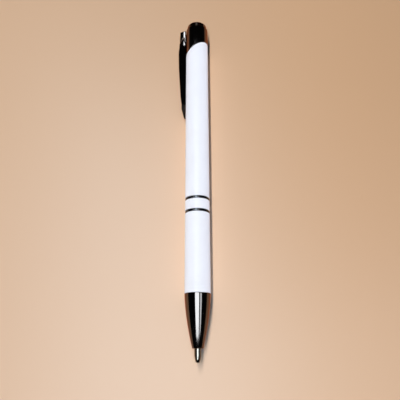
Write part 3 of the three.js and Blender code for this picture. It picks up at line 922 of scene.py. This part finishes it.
@dataclass
class FrontEnd:
    """Nose cone and lower barrel, which screw off together."""

    sizes: Sizes = SIZES
    lip_fillet: float = 0.14
    cone_end_radius: float = 1.95
    cone_steer_radius: float = 4.35
    cone_steer_reach: float = 10.4
    cone_edge: float = 0.3
    cone_edge_inset: float = 0.075
    cone_rear_fillet: float = 0.08
    cone_steps: int = 40
    cone_bore: float = 1.25
    cone_bore_fillet: float = 0.06
    spring_chamber: float = 2.4
    spring_seat: float = 10.0
    insert_socket_radius: float = 3.5
    insert_socket_front: float = 16.6

    def build(self) -> None:
        """Makes the cone and the lower barrel, and dresses them and the brass parts inside."""
        dress(self.nose_cone(), BLACK_CHROME, "front_body", "nose_cone")
        dress(self.lower_barrel(), WHITE_LACQUER, "front_body", "lower_barrel")
        refinish("nose_insert", BRASS)
        refinish("thread_bush", BRASS)

    def nose_cone(self) -> Piece:
        """Makes the ogive.

        Its outside is the curve (1 - t)^2 A + 2 t (1 - t) B + t^2 C, from the front edge A past the
        steering point B to the barrel's end C.

        Returns:
            The cone's object.
        """
        front, rear = self.sizes.nose_front, self.sizes.nose_rear
        start = np.array((self.cone_end_radius, front + self.cone_edge))
        steer = np.array((self.cone_steer_radius, front + self.cone_steer_reach))
        end = np.array((self.sizes.barrel_radius, rear))
        t = np.linspace(0, 1, self.cone_steps)[1:-1, None]
        curve = (1 - t) ** 2 * start + 2 * t * (1 - t) * steer + t**2 * end
        corners = [
            Corner(self.cone_bore, front, self.cone_bore_fillet),
            Corner(self.cone_end_radius - self.cone_edge_inset, front, self.cone_edge),
            *(Corner(radius, station) for radius, station in curve.tolist()),
            Corner(self.sizes.barrel_radius, rear, self.cone_rear_fillet),
            Corner(self.insert_socket_radius, rear),
            Corner(self.insert_socket_radius, self.insert_socket_front),
            Corner(self.spring_chamber, self.insert_socket_front),
            Corner(self.spring_chamber, self.spring_seat),
            Corner(self.cone_bore, self.spring_seat),
        ]
        return turned("nose_shell", Outline(corners))

    def lower_barrel(self) -> Piece:
        """Makes the lower barrel, a plain tube with rounded lips."""
        tube = self.sizes.tube(self.sizes.lower_front, self.sizes.lower_rear, self.lip_fillet)
        return turned("lower_tube", tube)


@dataclass
class CentreTrim:
    """Two black rings and the white band between them, on the coupling that joins the barrels."""

    sizes: Sizes = SIZES
    band_lip: float = 0.12
    ring_lip: float = 0.1
    ring_recess: float = 0.05
    thread_length: float = 6.4
    thread_pitch: float = 1.1
    thread_depth: float = 0.3
    tooth_fullness: float = 1.6
    tooth_steepness: float = 4.4
    crest_radius: float = 3.4
    wall: float = 0.5
    pressed_radius: float = 3.9
    front_chamfer: float = 0.15
    rear_chamfer: float = 0.3
    grip: float = 6.4
    steps_per_pitch: int = 22
    thread_sides: int = 120

    def build(self) -> None:
        """Makes the rings, the band and the threaded coupling."""
        sizes = self.sizes
        for side, before in (("lower", sizes.lower_rear), ("upper", sizes.band_rear)):
            front = before + sizes.seam
            outline = sizes.tube(front, front + sizes.ring_width, self.ring_lip, self.ring_recess)
            ring = turned(f"{side}_black_ring", outline)
            dress(ring, BLACK_LACQUER, "rear_body", f"{side}_trim_ring")
        band = turned("white_band", sizes.tube(sizes.band_front, sizes.band_rear, self.band_lip))
        dress(band, WHITE_LACQUER, "rear_body", "centre_band")
        dress(self.coupling(), BRASS, "rear_body", "centre_coupling")

    def coupling(self) -> Piece:
        """Makes the coupling with its helical thread.

        The thread's radius is root + depth * tooth(s / pitch - a / 2 pi), where tooth rises,
        stays, falls and rests once a turn. It fades out over half a pitch at both ends.

        Returns:
            The coupling's object.
        """
        front, rear = self.sizes.lower_rear - self.thread_length, self.sizes.lower_rear
        root = self.crest_radius - self.thread_depth
        count = int(self.steps_per_pitch * self.thread_length / self.thread_pitch)
        station = np.linspace(front, rear, count)[:, None]
        angle = np.arange(self.thread_sides)[None, :] * (2 * np.pi / self.thread_sides)
        phase = ((station - front) / self.thread_pitch - angle / (2 * np.pi)) % 1.0
        tooth = np.clip(self.tooth_fullness - np.abs(phase - 0.5) * self.tooth_steepness, 0, 1)
        ends = np.minimum(station - front, rear - station) / (self.thread_pitch / 2)
        radius = root + self.thread_depth * tooth * np.clip(ends, 0, 1)
        bore = root - self.wall
        step = self.sizes.lower_rear + self.sizes.seam
        grip_rear = self.sizes.upper_front + self.grip
        rings = (
            (root, step),
            (self.pressed_radius, step),
            (self.pressed_radius, grip_rear - self.rear_chamfer),
            (self.pressed_radius - self.rear_chamfer, grip_rear),
            (bore, grip_rear),
            (bore, front),
            (root - self.front_chamfer, front),
        )
        for ring_radius, ring_station in rings:
            radius = np.vstack([radius, np.full((1, self.thread_sides), ring_radius)])
            station = np.vstack([station, [[ring_station]]])
        return mesh_object("threaded_coupling", PLACE.along_pen(radius * MM, angle, station * MM), True)


@dataclass
class RearEnd:
    """Upper barrel and top collar, which meet on the slant, and the guide sleeve inside."""

    sizes: Sizes = SIZES
    slant_seam: float = 0.1
    lip_fillet: float = 0.13
    mouth_fillet: float = 0.25
    inner_fillet: float = 0.1
    spigot_fillet: float = 0.2
    spigot_front: float = 114.05
    spigot_bore: float = 3.3
    spigot_radius: float = 3.9
    well_fillet: float = 0.08
    well_radius: float = 4.2
    well_floor: float = 128.45
    slot: Block = Block(reach=(2.6, 5.2), station=126.05, half_length=1.8, half_width=1.5)

    def build(self) -> None:
        """Makes the barrel and the collar, and dresses them and the sleeve."""
        dress(self.upper_barrel(), WHITE_LACQUER, "rear_body", "upper_barrel")
        dress(self.top_collar(), BLACK_CHROME, "rear_body", "top_collar")
        refinish("mechanism_body", MECHANISM_PLASTIC)

    def upper_barrel(self) -> Piece:
        """Makes the upper barrel, whose rear end is cut on the slant.

        Returns:
            The barrel's object.
        """
        sizes = self.sizes
        tube = sizes.tube(sizes.upper_front, sizes.slant_centre, self.lip_fillet, slant=1.0)
        return turned("upper_tube", tube, sizes.slope)

    def top_collar(self) -> Piece:
        """Makes the collar with its slanted shoulder, its spigot, its well and the lug's slot.

        Returns:
            The collar's object.
        """
        sizes = self.sizes
        shoulder = sizes.slant_centre + self.slant_seam
        corners = [
            Corner(self.spigot_bore, self.spigot_front, self.inner_fillet),
            Corner(self.spigot_radius, self.spigot_front, self.spigot_fillet),
            Corner(self.spigot_radius, shoulder, 0.0, 1.0),
            Corner(sizes.barrel_radius, shoulder, self.lip_fillet, 1.0),
            Corner(sizes.barrel_radius, sizes.mouth, self.mouth_fillet),
            Corner(self.well_radius, sizes.mouth, self.well_fillet),
            Corner(self.well_radius, self.well_floor),
            Corner(self.spigot_bore, self.well_floor, self.inner_fillet),
        ]
        shell = turned("collar_shell", Outline(corners), sizes.slope)
        with_boolean(shell, self.slot.piece("slot_block"), "DIFFERENCE")
        return shell


@dataclass
class PocketClip:
    """Pocket clip: a rounded root, a bowed channel and a solid end, with a lug in the collar.

    Falls are from the clip's top end and reaches from the pen's axis.
    """

    top: float = SIZES.mouth
    length: float = 41.7
    bow: tuple[tuple[float, float], ...] = ((0.0, 6.9), (12.5, 7.7), (30.0, 7.0), (35.5, 6.45))
    end_falls: Triple = (35.5, 37.2, 41.7)
    end_reaches: Triple = (6.45, 6.55, 5.55)
    width_falls: Triple = (0.0, 35.5, 41.7)
    half_widths: Triple = (2.5, 1.4, 0.7)
    sheet: float = 0.6
    edge: float = 0.5
    under_radius: float = 4.95
    root_length: float = 5.0
    neck_fall: float = 35.5
    bow_steps: int = 200
    end_round: float = 0.25
    end_narrowing: float = 0.8
    end_thinning: float = 0.3
    crown_drop: float = 0.2
    crown_pitch: float = 0.04
    crown_fade: tuple[float, float] = (6.8, 9.8)
    arch_fall: float = 3.85
    arch_curve: float = 0.75
    arch_depth: float = 0.16
    arch_width: float = 0.36
    crease_depth: float = 0.22
    crease_width: float = 0.3
    hollow_margin: float = 0.1
    hollow_rise: float = 0.25
    rows: int = 240
    end_zone: float = 0.6
    end_rows: int = 12
    root_zone: tuple[float, float] = (3.6, 9.6)
    neck_zone: tuple[float, float] = (35.0, 35.6)
    neck_rows: int = 8
    wall_points: int = 22
    face_points: int = 13
    edge_points: int = 4
    lug: Block = Block(reach=(3.6, 6.7), station=126.05, half_length=1.5, half_width=1.2)

    def build(self) -> None:
        """Makes the clip and dresses it."""
        shell = self.blade()
        with_boolean(shell, self.lug.piece("lug_block"), "UNION")
        dress(shell, BLACK_CHROME, "clip", "clip")

    def reach_at(self, fall: np.ndarray) -> np.ndarray:
        """Works out the reach of the outer face.

        Down to the neck it is the Catmull-Rom curve through the four bow points, which between
        points b and c, with a before and d after them, is b + v t + (3 (c - b) - 2 v - w) t^2 +
        (2 (b - c) + v + w) t^3, where v = (c - a) / 2 and w = (d - b) / 2. Below it the face is
        straight between the points of the end.

        Args:
            fall: Falls from the clip's top.

        Returns:
            Reaches from the axis.
        """
        points = np.array(self.bow)
        padded = np.vstack([points[:1], points, points[-1:]])
        t = np.linspace(0, 1, self.bow_steps)[:, None]
        pieces = []
        for a, b, c, d in zip(padded, padded[1:], padded[2:], padded[3:]):
            v, w = (c - a) / 2, (d - b) / 2
            pieces.append(b + v * t + (3 * (c - b) - 2 * v - w) * t**2 + (2 * (b - c) + v + w) * t**3)
        curve = np.vstack(pieces)
        straight = np.interp(fall, self.end_falls, self.end_reaches)
        return np.where(fall < self.neck_fall, np.interp(fall, curve[:, 0], curve[:, 1]), straight)

    def underside(self, side: np.ndarray, inset: np.ndarray) -> np.ndarray:
        """Reach of the underside: a circle about the pen's axis, raised a little at the ends."""
        return np.sqrt(self.under_radius**2 - side**2) + inset * self.end_thinning

    def section(self, fall: np.ndarray) -> tuple[np.ndarray, np.ndarray, np.ndarray]:
        """Works out the clip's cross-sections.

        Each is one loop: up one wall, over the face and down the other wall, and back along the
        channel's inside. The channel's ceiling drops to the underside where the clip is solid. The
        walls' outsides are round where they start and flatten below the arch.

        Args:
            fall: Falls of the sections, as a column.

        Returns:
            Reach, side and corner share, sections by points.
        """
        beyond = np.clip(self.end_round - np.minimum(fall, self.length - fall), 0, None)
        inset = self.end_round - np.sqrt(np.clip(self.end_round**2 - beyond**2, 0, None))
        crease = np.exp(-(((fall - self.root_length) / self.crease_width) ** 2)) * self.crease_depth
        reach = self.reach_at(fall) - inset - crease
        half = np.interp(fall, self.width_falls, self.half_widths) - inset * self.end_narrowing
        foot = self.underside(half, inset)
        wall = np.linspace(0, 1, self.wall_points)[None, :]
        wall_reach = foot + (reach - self.edge - foot) * wall
        wall_side = half - self.side_drop(fall, wall_reach, foot, reach)
        turn = np.linspace(0, np.pi / 2, self.edge_points + 2)[None, 1:-1]
        edge_reach = reach - self.edge * (1 - np.sin(turn))
        edge_side = wall_side[:, -1:] - self.edge * (1 - np.cos(turn))
        across = np.linspace(1, -1, self.face_points)[None, :]
        face_side = (wall_side[:, -1:] - self.edge) * across
        inner_half = wall_side[:, :1] - self.sheet
        inner_foot = self.underside(inner_half, inset)
        inner_side = inner_half * -across
        under = self.underside(inner_side, inset)
        ceiling = under + (np.maximum(reach - self.sheet, under) - under) * self.hollow(fall)
        loop = (
            (wall_reach, wall_side),
            (edge_reach, edge_side),
            (np.broadcast_to(reach, face_side.shape), face_side),
            (edge_reach[:, ::-1], -edge_side[:, ::-1]),
            (wall_reach[:, ::-1], -wall_side[:, ::-1]),
            (inner_foot, -inner_half),
            (ceiling, inner_side),
            (inner_foot, inner_half),
        )
        reach_grid, side_grid = (np.hstack(parts) for parts in zip(*loop))
        corner = np.zeros_like(reach_grid)
        for first in (self.wall_points, self.wall_points + self.edge_points + self.face_points):
            corner[:, first : first + self.edge_points] = 1.0
        return reach_grid, side_grid, corner

    def hollow(self, fall: np.ndarray) -> np.ndarray:
        """Share of the channel that is open: none in the root and the end, all between them."""
        past_root, to_neck = fall - self.root_length, self.neck_fall - fall
        return np.clip((np.minimum(past_root, to_neck) - self.hollow_margin) / self.hollow_rise, 0, 1)

    def side_drop(
        self, fall: np.ndarray, wall_reach: np.ndarray, foot: np.ndarray, reach: np.ndarray
    ) -> np.ndarray:
        """Works out how far the outside of a wall lies inside its widest line.

        The crown's drop is d * x^2 + p * fall, where x goes from -1 at the foot to 1 at the face.
        The arch is a groove along fall = f + c (reach - middle)^2.

        Args:
            fall: Falls as a column.
            wall_reach: Reaches of the wall's points.
            foot: Reach of the wall's foot.
            reach: Reach of the face.

        Returns:
            The drop at each point.
        """
        middle = (foot + reach) / 2
        offset = wall_reach - middle
        across = offset / ((reach - foot) / 2)
        start, end = self.crown_fade
        fade = np.clip((end - fall) / (end - start), 0, 1)
        crown = (self.crown_drop * across**2 + self.crown_pitch * fall) * fade**2 * (3 - 2 * fade)
        arch = self.arch_fall + self.arch_curve * offset**2
        steep = np.sqrt(1 + (2 * self.arch_curve * offset) ** 2)
        groove = np.exp(-(((fall - arch) / (self.arch_width * steep)) ** 2)) * self.arch_depth
        return crown + groove * (fade > 0)

    def blade(self) -> Piece:
        """Makes the clip without its lug, with more sections where its shape changes fast.

        Returns:
            The blade's object.
        """
        end = np.linspace(0, self.end_zone, self.end_rows)
        zones = (
            np.linspace(0, self.length, self.rows // 2),
            end,
            self.length - end,
            np.linspace(*self.root_zone, self.rows // 2),
            np.linspace(*self.neck_zone, self.neck_rows),
        )
        fall = np.unique(np.round(np.concatenate(zones), 3))[:, None]
        reach, side, corner = self.section(fall)
        points = PLACE.from_clip(reach * MM, (self.top - fall) * MM, side * MM)
        return mesh_object("clip_blade", points, caps=True, corner=corner)


@dataclass
class ClickButton:
    """Push button with a low dome, and the plunger and the cam rotor that it drives."""

    radius: float = 4.1
    wall: float = 0.5
    edge_fillet: float = 0.1
    ceiling_fillet: float = 0.2
    front: float = 129.45
    rim: float = 136.45
    dome_height: float = 1.55
    ceiling: float = 135.65
    boss_radius: float = 2.0
    boss_front: float = 131.25
    stem_bore: float = 1.3
    stem_hole_end: float = 135.15
    dome_steps: int = 32

    def build(self) -> None:
        """Makes the button, and dresses it, the plunger and the cam rotor."""
        dress(self.cap(), BLACK_CHROME, "button", "push_button")
        refinish("plunger", PALE_PLASTIC)
        refinish("cam_rotor", PALE_PLASTIC)

    def cap(self) -> Piece:
        """Makes the cap.

        Its dome is the quarter ellipse (radius cos u, rim + height sin u).

        Returns:
            The cap's object.
        """
        angle = np.linspace(np.pi / 2, 0, self.dome_steps)[1:]
        dome = zip(self.radius * np.cos(angle), self.rim + self.dome_height * np.sin(angle))
        corners = [
            Corner(0.0, self.rim + self.dome_height),
            *(Corner(float(radius), float(station)) for radius, station in dome),
            Corner(self.radius, self.front, self.edge_fillet),
            Corner(self.radius - self.wall, self.front, self.edge_fillet),
            Corner(self.radius - self.wall, self.ceiling, self.ceiling_fillet),
            Corner(self.boss_radius, self.ceiling, self.ceiling_fillet),
            Corner(self.boss_radius, self.boss_front, self.edge_fillet),
            Corner(self.stem_bore, self.boss_front, self.edge_fillet),
            Corner(self.stem_bore, self.stem_hole_end),
            Corner(0.0, self.stem_hole_end),
        ]
        return turned("button_cap", Outline(corners, closed=False))


@dataclass
class Refill:
    """Refill: tube, ink, turned point and the ball in it."""

    ball_radius: float = 0.5
    socket_radius: float = 0.55
    lip_station: float = 0.2
    lip_wall: float = 0.14
    lip_fillet: float = 0.06
    channel_radius: float = 0.3
    swell: Corner = Corner(radius=0.93, station=1.0, fillet=0.5)
    shoulder: Corner = Corner(radius=1.15, station=2.25, fillet=0.8)
    shank_end: float = 11.2
    shank_fillet: float = 0.05
    plug_radius: float = 0.9
    plug_end: float = 14.0
    plug_fillet: float = 0.1
    point_sides: int = 96
    socket_steps: int = 12
    ball_rows: int = 48
    ball_columns: int = 64

    def build(self) -> None:
        """Makes the point and the ball, and dresses them, the tube and the ink."""
        dress(self.point(), POINT_METAL, "refill", "refill_point")
        dress(self.ball(), BALL_STEEL, "ball", "tip_ball")
        refinish("refill_tube", REFILL_STEEL)
        refinish("ink_column", INK)

    def point(self) -> Piece:
        """Makes the turned point.

        Its cone swells a little towards the shank, and its socket is an arc about the ball's centre.

        Returns:
            The point's object.
        """
        socket, centre = self.socket_radius, self.ball_radius
        lip = math.sqrt(socket**2 - (centre - self.lip_station) ** 2)
        first = math.acos(self.channel_radius / socket)
        last = math.atan2(self.lip_station - centre, lip)
        angles = np.linspace(first, last, self.socket_steps)
        arc = zip(socket * np.cos(angles), centre + socket * np.sin(angles))
        corners = [
            Corner(lip + self.lip_wall, self.lip_station, self.lip_fillet),
            self.swell,
            self.shoulder,
            Corner(self.shoulder.radius, self.shank_end, self.shank_fillet),
            Corner(self.plug_radius, self.shank_end),
            Corner(self.plug_radius, self.plug_end, self.plug_fillet),
            Corner(self.channel_radius, self.plug_end),
            *(Corner(float(radius), float(station)) for radius, station in arc),
        ]
        return turned("writing_point", Outline(corners), sides=self.point_sides)

    def ball(self) -> Piece:
        """Makes the ball: radius R sin u and station R - R cos u, with u from 0 to pi.

        Returns:
            The ball's object.
        """
        sweep = np.linspace(0, np.pi, self.ball_rows)[:, None]
        angle = np.arange(self.ball_columns)[None, :] * (2 * np.pi / self.ball_columns)
        radius = self.ball_radius * np.sin(sweep)
        station = self.ball_radius * (1 - np.cos(sweep))
        return mesh_object("writing_ball", PLACE.along_pen(radius * MM, angle, station * MM))


@dataclass
class ReturnSpring:
    """Compression spring between the nose cone and the refill's ears."""

    wire_radius: float = 0.2
    coil_radius: float = 1.95
    coils: int = 15
    front: float = 10.5
    rear: float = 30.55
    steps_per_coil: int = 40
    wire_points: int = 12

    def build(self) -> None:
        """Makes the spring and dresses it."""
        dress(self.coil(), SPRING_STEEL, "front_body", "return_spring")

    def coil(self) -> Piece:
        """Makes the spring.

        Its centre line is (R, a, front + rise a / 2 pi), and the wire's section stands square to it.

        Returns:
            The spring's object.
        """
        rise = (self.rear - self.front) / self.coils
        climb = math.atan2(rise, 2 * math.pi * self.coil_radius)
        angle = np.linspace(0, 2 * np.pi * self.coils, self.coils * self.steps_per_coil + 1)[:, None]
        section = np.arange(self.wire_points)[None, :] * (2 * np.pi / self.wire_points)
        out, across = self.wire_radius * np.cos(section), self.wire_radius * np.sin(section)
        radius = self.coil_radius + out
        turn = angle - across * math.sin(climb) / self.coil_radius
        station = self.front + rise * angle / (2 * np.pi) + across * math.cos(climb)
        return mesh_object("spring_coil", PLACE.along_pen(radius * MM, turn, station * MM), caps=True)


COOL = (0.95, 1.14, 1.29)
PALE_BLUE = (0.91, 0.95, 1.14)
PEN_MIDDLE = (0.0, 0.0, 0.0)


@dataclass(frozen=True)
class Lamp:
    """Flat soft lamp. Its place, its aim and its width and length are in metres."""

    name: str
    place: Triple
    size: tuple[float, float]
    radiance: float
    duty: Duty = Duty.SHINE
    colour: Triple = (1.0, 1.0, 1.0)
    aim: Triple | None = None

    def hang(self, pieces: bpy.types.Collection) -> None:
        """Adds the lamp, which faces its aim, or straight down if it has none.

        A flat lamp of area A and radiance L gives out the power pi A L.

        Args:
            pieces: The pieces of the pen, which a lamp may be kept to.
        """
        width, length = self.size
        light = bpy.data.lights.new(self.name, "AREA")
        light.shape = "RECTANGLE"
        light.size = width
        light.size_y = length
        light.color = self.colour
        light.energy = math.pi * width * length * self.radiance
        hanging = show(self.name, light)
        hanging.location = self.place
        if self.aim:
            away = Vector(self.place) - Vector(self.aim)
            hanging.rotation_euler = away.to_track_quat("Z", "Y").to_euler()
        hanging.visible_glossy = self.duty is Duty.SHINE
        hanging.visible_diffuse = self.duty is not Duty.SHINE
        if self.duty is Duty.LIGHT_PEN:
            hanging.light_linking.receiver_collection = pieces


@dataclass
class Studio:
    """Floor, lamps, surroundings and camera, in metres."""

    floor_side: float = 6.0
    # The floor's paler colour in front of the pen is a painted sheen of the lamps, and its warmer tint on
    # the right is a painted fall-off of the light.
    floor_far: Triple = (0.73, 0.485, 0.31)
    floor_near_painted_sheen: Triple = (0.8, 0.55, 0.375)
    floor_right_painted_falloff: Triple = (1.06, 1.0, 0.92)
    floor_roughness: float = 0.4
    painted_sheen_change: tuple[float, float] = (-0.12, 0.06)
    painted_falloff_change: tuple[float, float] = (-0.04, 0.07)
    horizon: Triple = (0.02, 0.018, 0.016)
    zenith: Triple = (0.006, 0.006, 0.007)
    fade: tuple[float, float] = (0.1, 0.4)
    lamps: tuple[Lamp, ...] = (
        Lamp("front_strip", (-0.044, -0.145, 0.62), (0.39, 0.31), 5.4, colour=COOL),
        Lamp("side_strip", (0.365, -0.145, 0.62), (0.19, 0.31), 2.9, colour=COOL),
        Lamp("rear_strip", (-0.125, 0.215, 0.62), (0.25, 0.37), 5.4, colour=COOL),
        Lamp("clip_spark", (-0.265, 0.465, 0.62), (0.16, 0.07), 7.0, colour=COOL),
        Lamp("left_spark", (-0.455, 0.24, 0.62), (0.1, 0.15), 3.0),
        Lamp("right_spark", (0.137, 0.18, 0.62), (0.08, 0.15), 3.0),
        Lamp("dome_spark", (-0.05, 0.71, 0.62), (0.2, 0.1), 0.5),
        Lamp("key", (-0.12, 0.0, 0.62), (0.04, 1.0), 37.0, Duty.LIGHT_ALL),
        Lamp("left_fill", (-1.0, 0.0, 0.27), (0.5, 1.2), 3.8, Duty.LIGHT_PEN, PALE_BLUE, PEN_MIDDLE),
        Lamp("right_fill", (1.0, 0.0, 0.27), (0.5, 1.2), 5.6, Duty.LIGHT_PEN, PALE_BLUE, PEN_MIDDLE),
    )
    camera_place: Triple = (0.001, -0.069, 0.16309)
    camera_tilt: float = 19.94
    camera_roll: float = -0.275
    camera_near: float = 0.01
    focal_pixels: float = 450.0
    frame_pixels: float = 400.0
    sensor: float = 36.0

    def build(self) -> None:
        """Makes the lamps, the floor, the surroundings and the camera, after the pen."""
        pieces = bpy.data.collections.new("pen_pieces")
        for item in bpy.data.objects:
            if item.type == "MESH":
                pieces.objects.link(item)
        for lamp in self.lamps:
            lamp.hang(pieces)
        self.floor()
        self.surroundings()
        self.camera()
        bpy.context.scene.view_settings.view_transform = "Standard"

    def floor(self) -> Piece:
        """Makes the floor, a little paler in front of the pen, where a painted sheen of the lamps lies,
        and warmer on its right, where a painted fall-off of the light lies.

        Returns:
            The floor's object.
        """
        half = self.floor_side / 2
        mesh = bpy.data.meshes.new("floor")
        places = [(-half, -half, 0.0), (half, -half, 0.0), (half, half, 0.0), (-half, half, 0.0)]
        mesh.from_pydata(places, [], [(0, 1, 2, 3)])
        material = bpy.data.materials.new("floor")
        sheet = Sheet.cleared(material)
        axes = sheet.add("SeparateXYZ", Vector=sheet.add("TexCoord").outputs["Object"])
        # Painted sheen of the lamps: the floor is paler in front of the pen.
        behind = sheet.between(axes.outputs[1], *self.painted_sheen_change)
        # Painted fall-off of the light: the floor is tinted warmer towards the right.
        right = sheet.between(axes.outputs[0], *self.painted_falloff_change)
        colour = sheet.blend(behind, (*self.floor_near_painted_sheen, 1.0), (*self.floor_far, 1.0))
        shade = sheet.blend(right, (1.0, 1.0, 1.0, 1.0), (*self.floor_right_painted_falloff, 1.0))
        colour = sheet.blend(1.0, colour, shade, "MULTIPLY")
        shader = sheet.add("BsdfPrincipled", Base_Color=colour, Roughness=self.floor_roughness)
        sheet.add("OutputMaterial", Surface=shader.outputs[0])
        mesh.materials.append(material)
        return show("floor", mesh)

    def surroundings(self) -> None:
        """Surrounds the scene with a dim band at the horizon that fades to dark overhead."""
        world = bpy.data.worlds.new("surroundings")
        sheet = Sheet.cleared(world)
        height = sheet.add("SeparateXYZ", Vector=sheet.add("TexCoord").outputs["Generated"]).outputs[2]
        share = sheet.between(height, *self.fade)
        colour = sheet.blend(share, (*self.horizon, 1.0), (*self.zenith, 1.0))
        shader = sheet.add("Background", Color=colour, Strength=1.0)
        sheet.add("OutputWorld", Surface=shader.outputs[0])
        bpy.context.scene.world = world

    def camera(self) -> None:
        """Sets the camera over the writing end, looking down and along the pen."""
        data = bpy.data.cameras.new("camera")
        data.sensor_width = self.sensor
        data.lens = self.sensor * self.focal_pixels / self.frame_pixels
        data.clip_start = self.camera_near
        camera = show("camera", data)
        camera.location = self.camera_place
        tilt = Matrix.Rotation(math.radians(self.camera_tilt), 3, "X")
        roll = Matrix.Rotation(math.radians(self.camera_roll), 3, "Z")
        camera.rotation_euler = (tilt @ roll).to_euler()
        bpy.context.scene.camera = camera


@dataclass
class Pen:
    """The whole pen, as its sub-assemblies in the order in which they are made."""

    parts: tuple[type, ...] = (
        FrontEnd,
        CentreTrim,
        RearEnd,
        PocketClip,
        ClickButton,
        Refill,
        ReturnSpring,
    )

    def build(self) -> None:
        """Makes every sub-assembly."""
        for part in self.parts:
            log.info("making %s", part.__name__)
            part().build()


def main() -> None:
    """Makes the pen and the studio."""
    logging.basicConfig(level=logging.INFO, format="%(name)s: %(message)s")
    Pen().build()
    Studio().build()


if __name__ == "__main__":
    main()
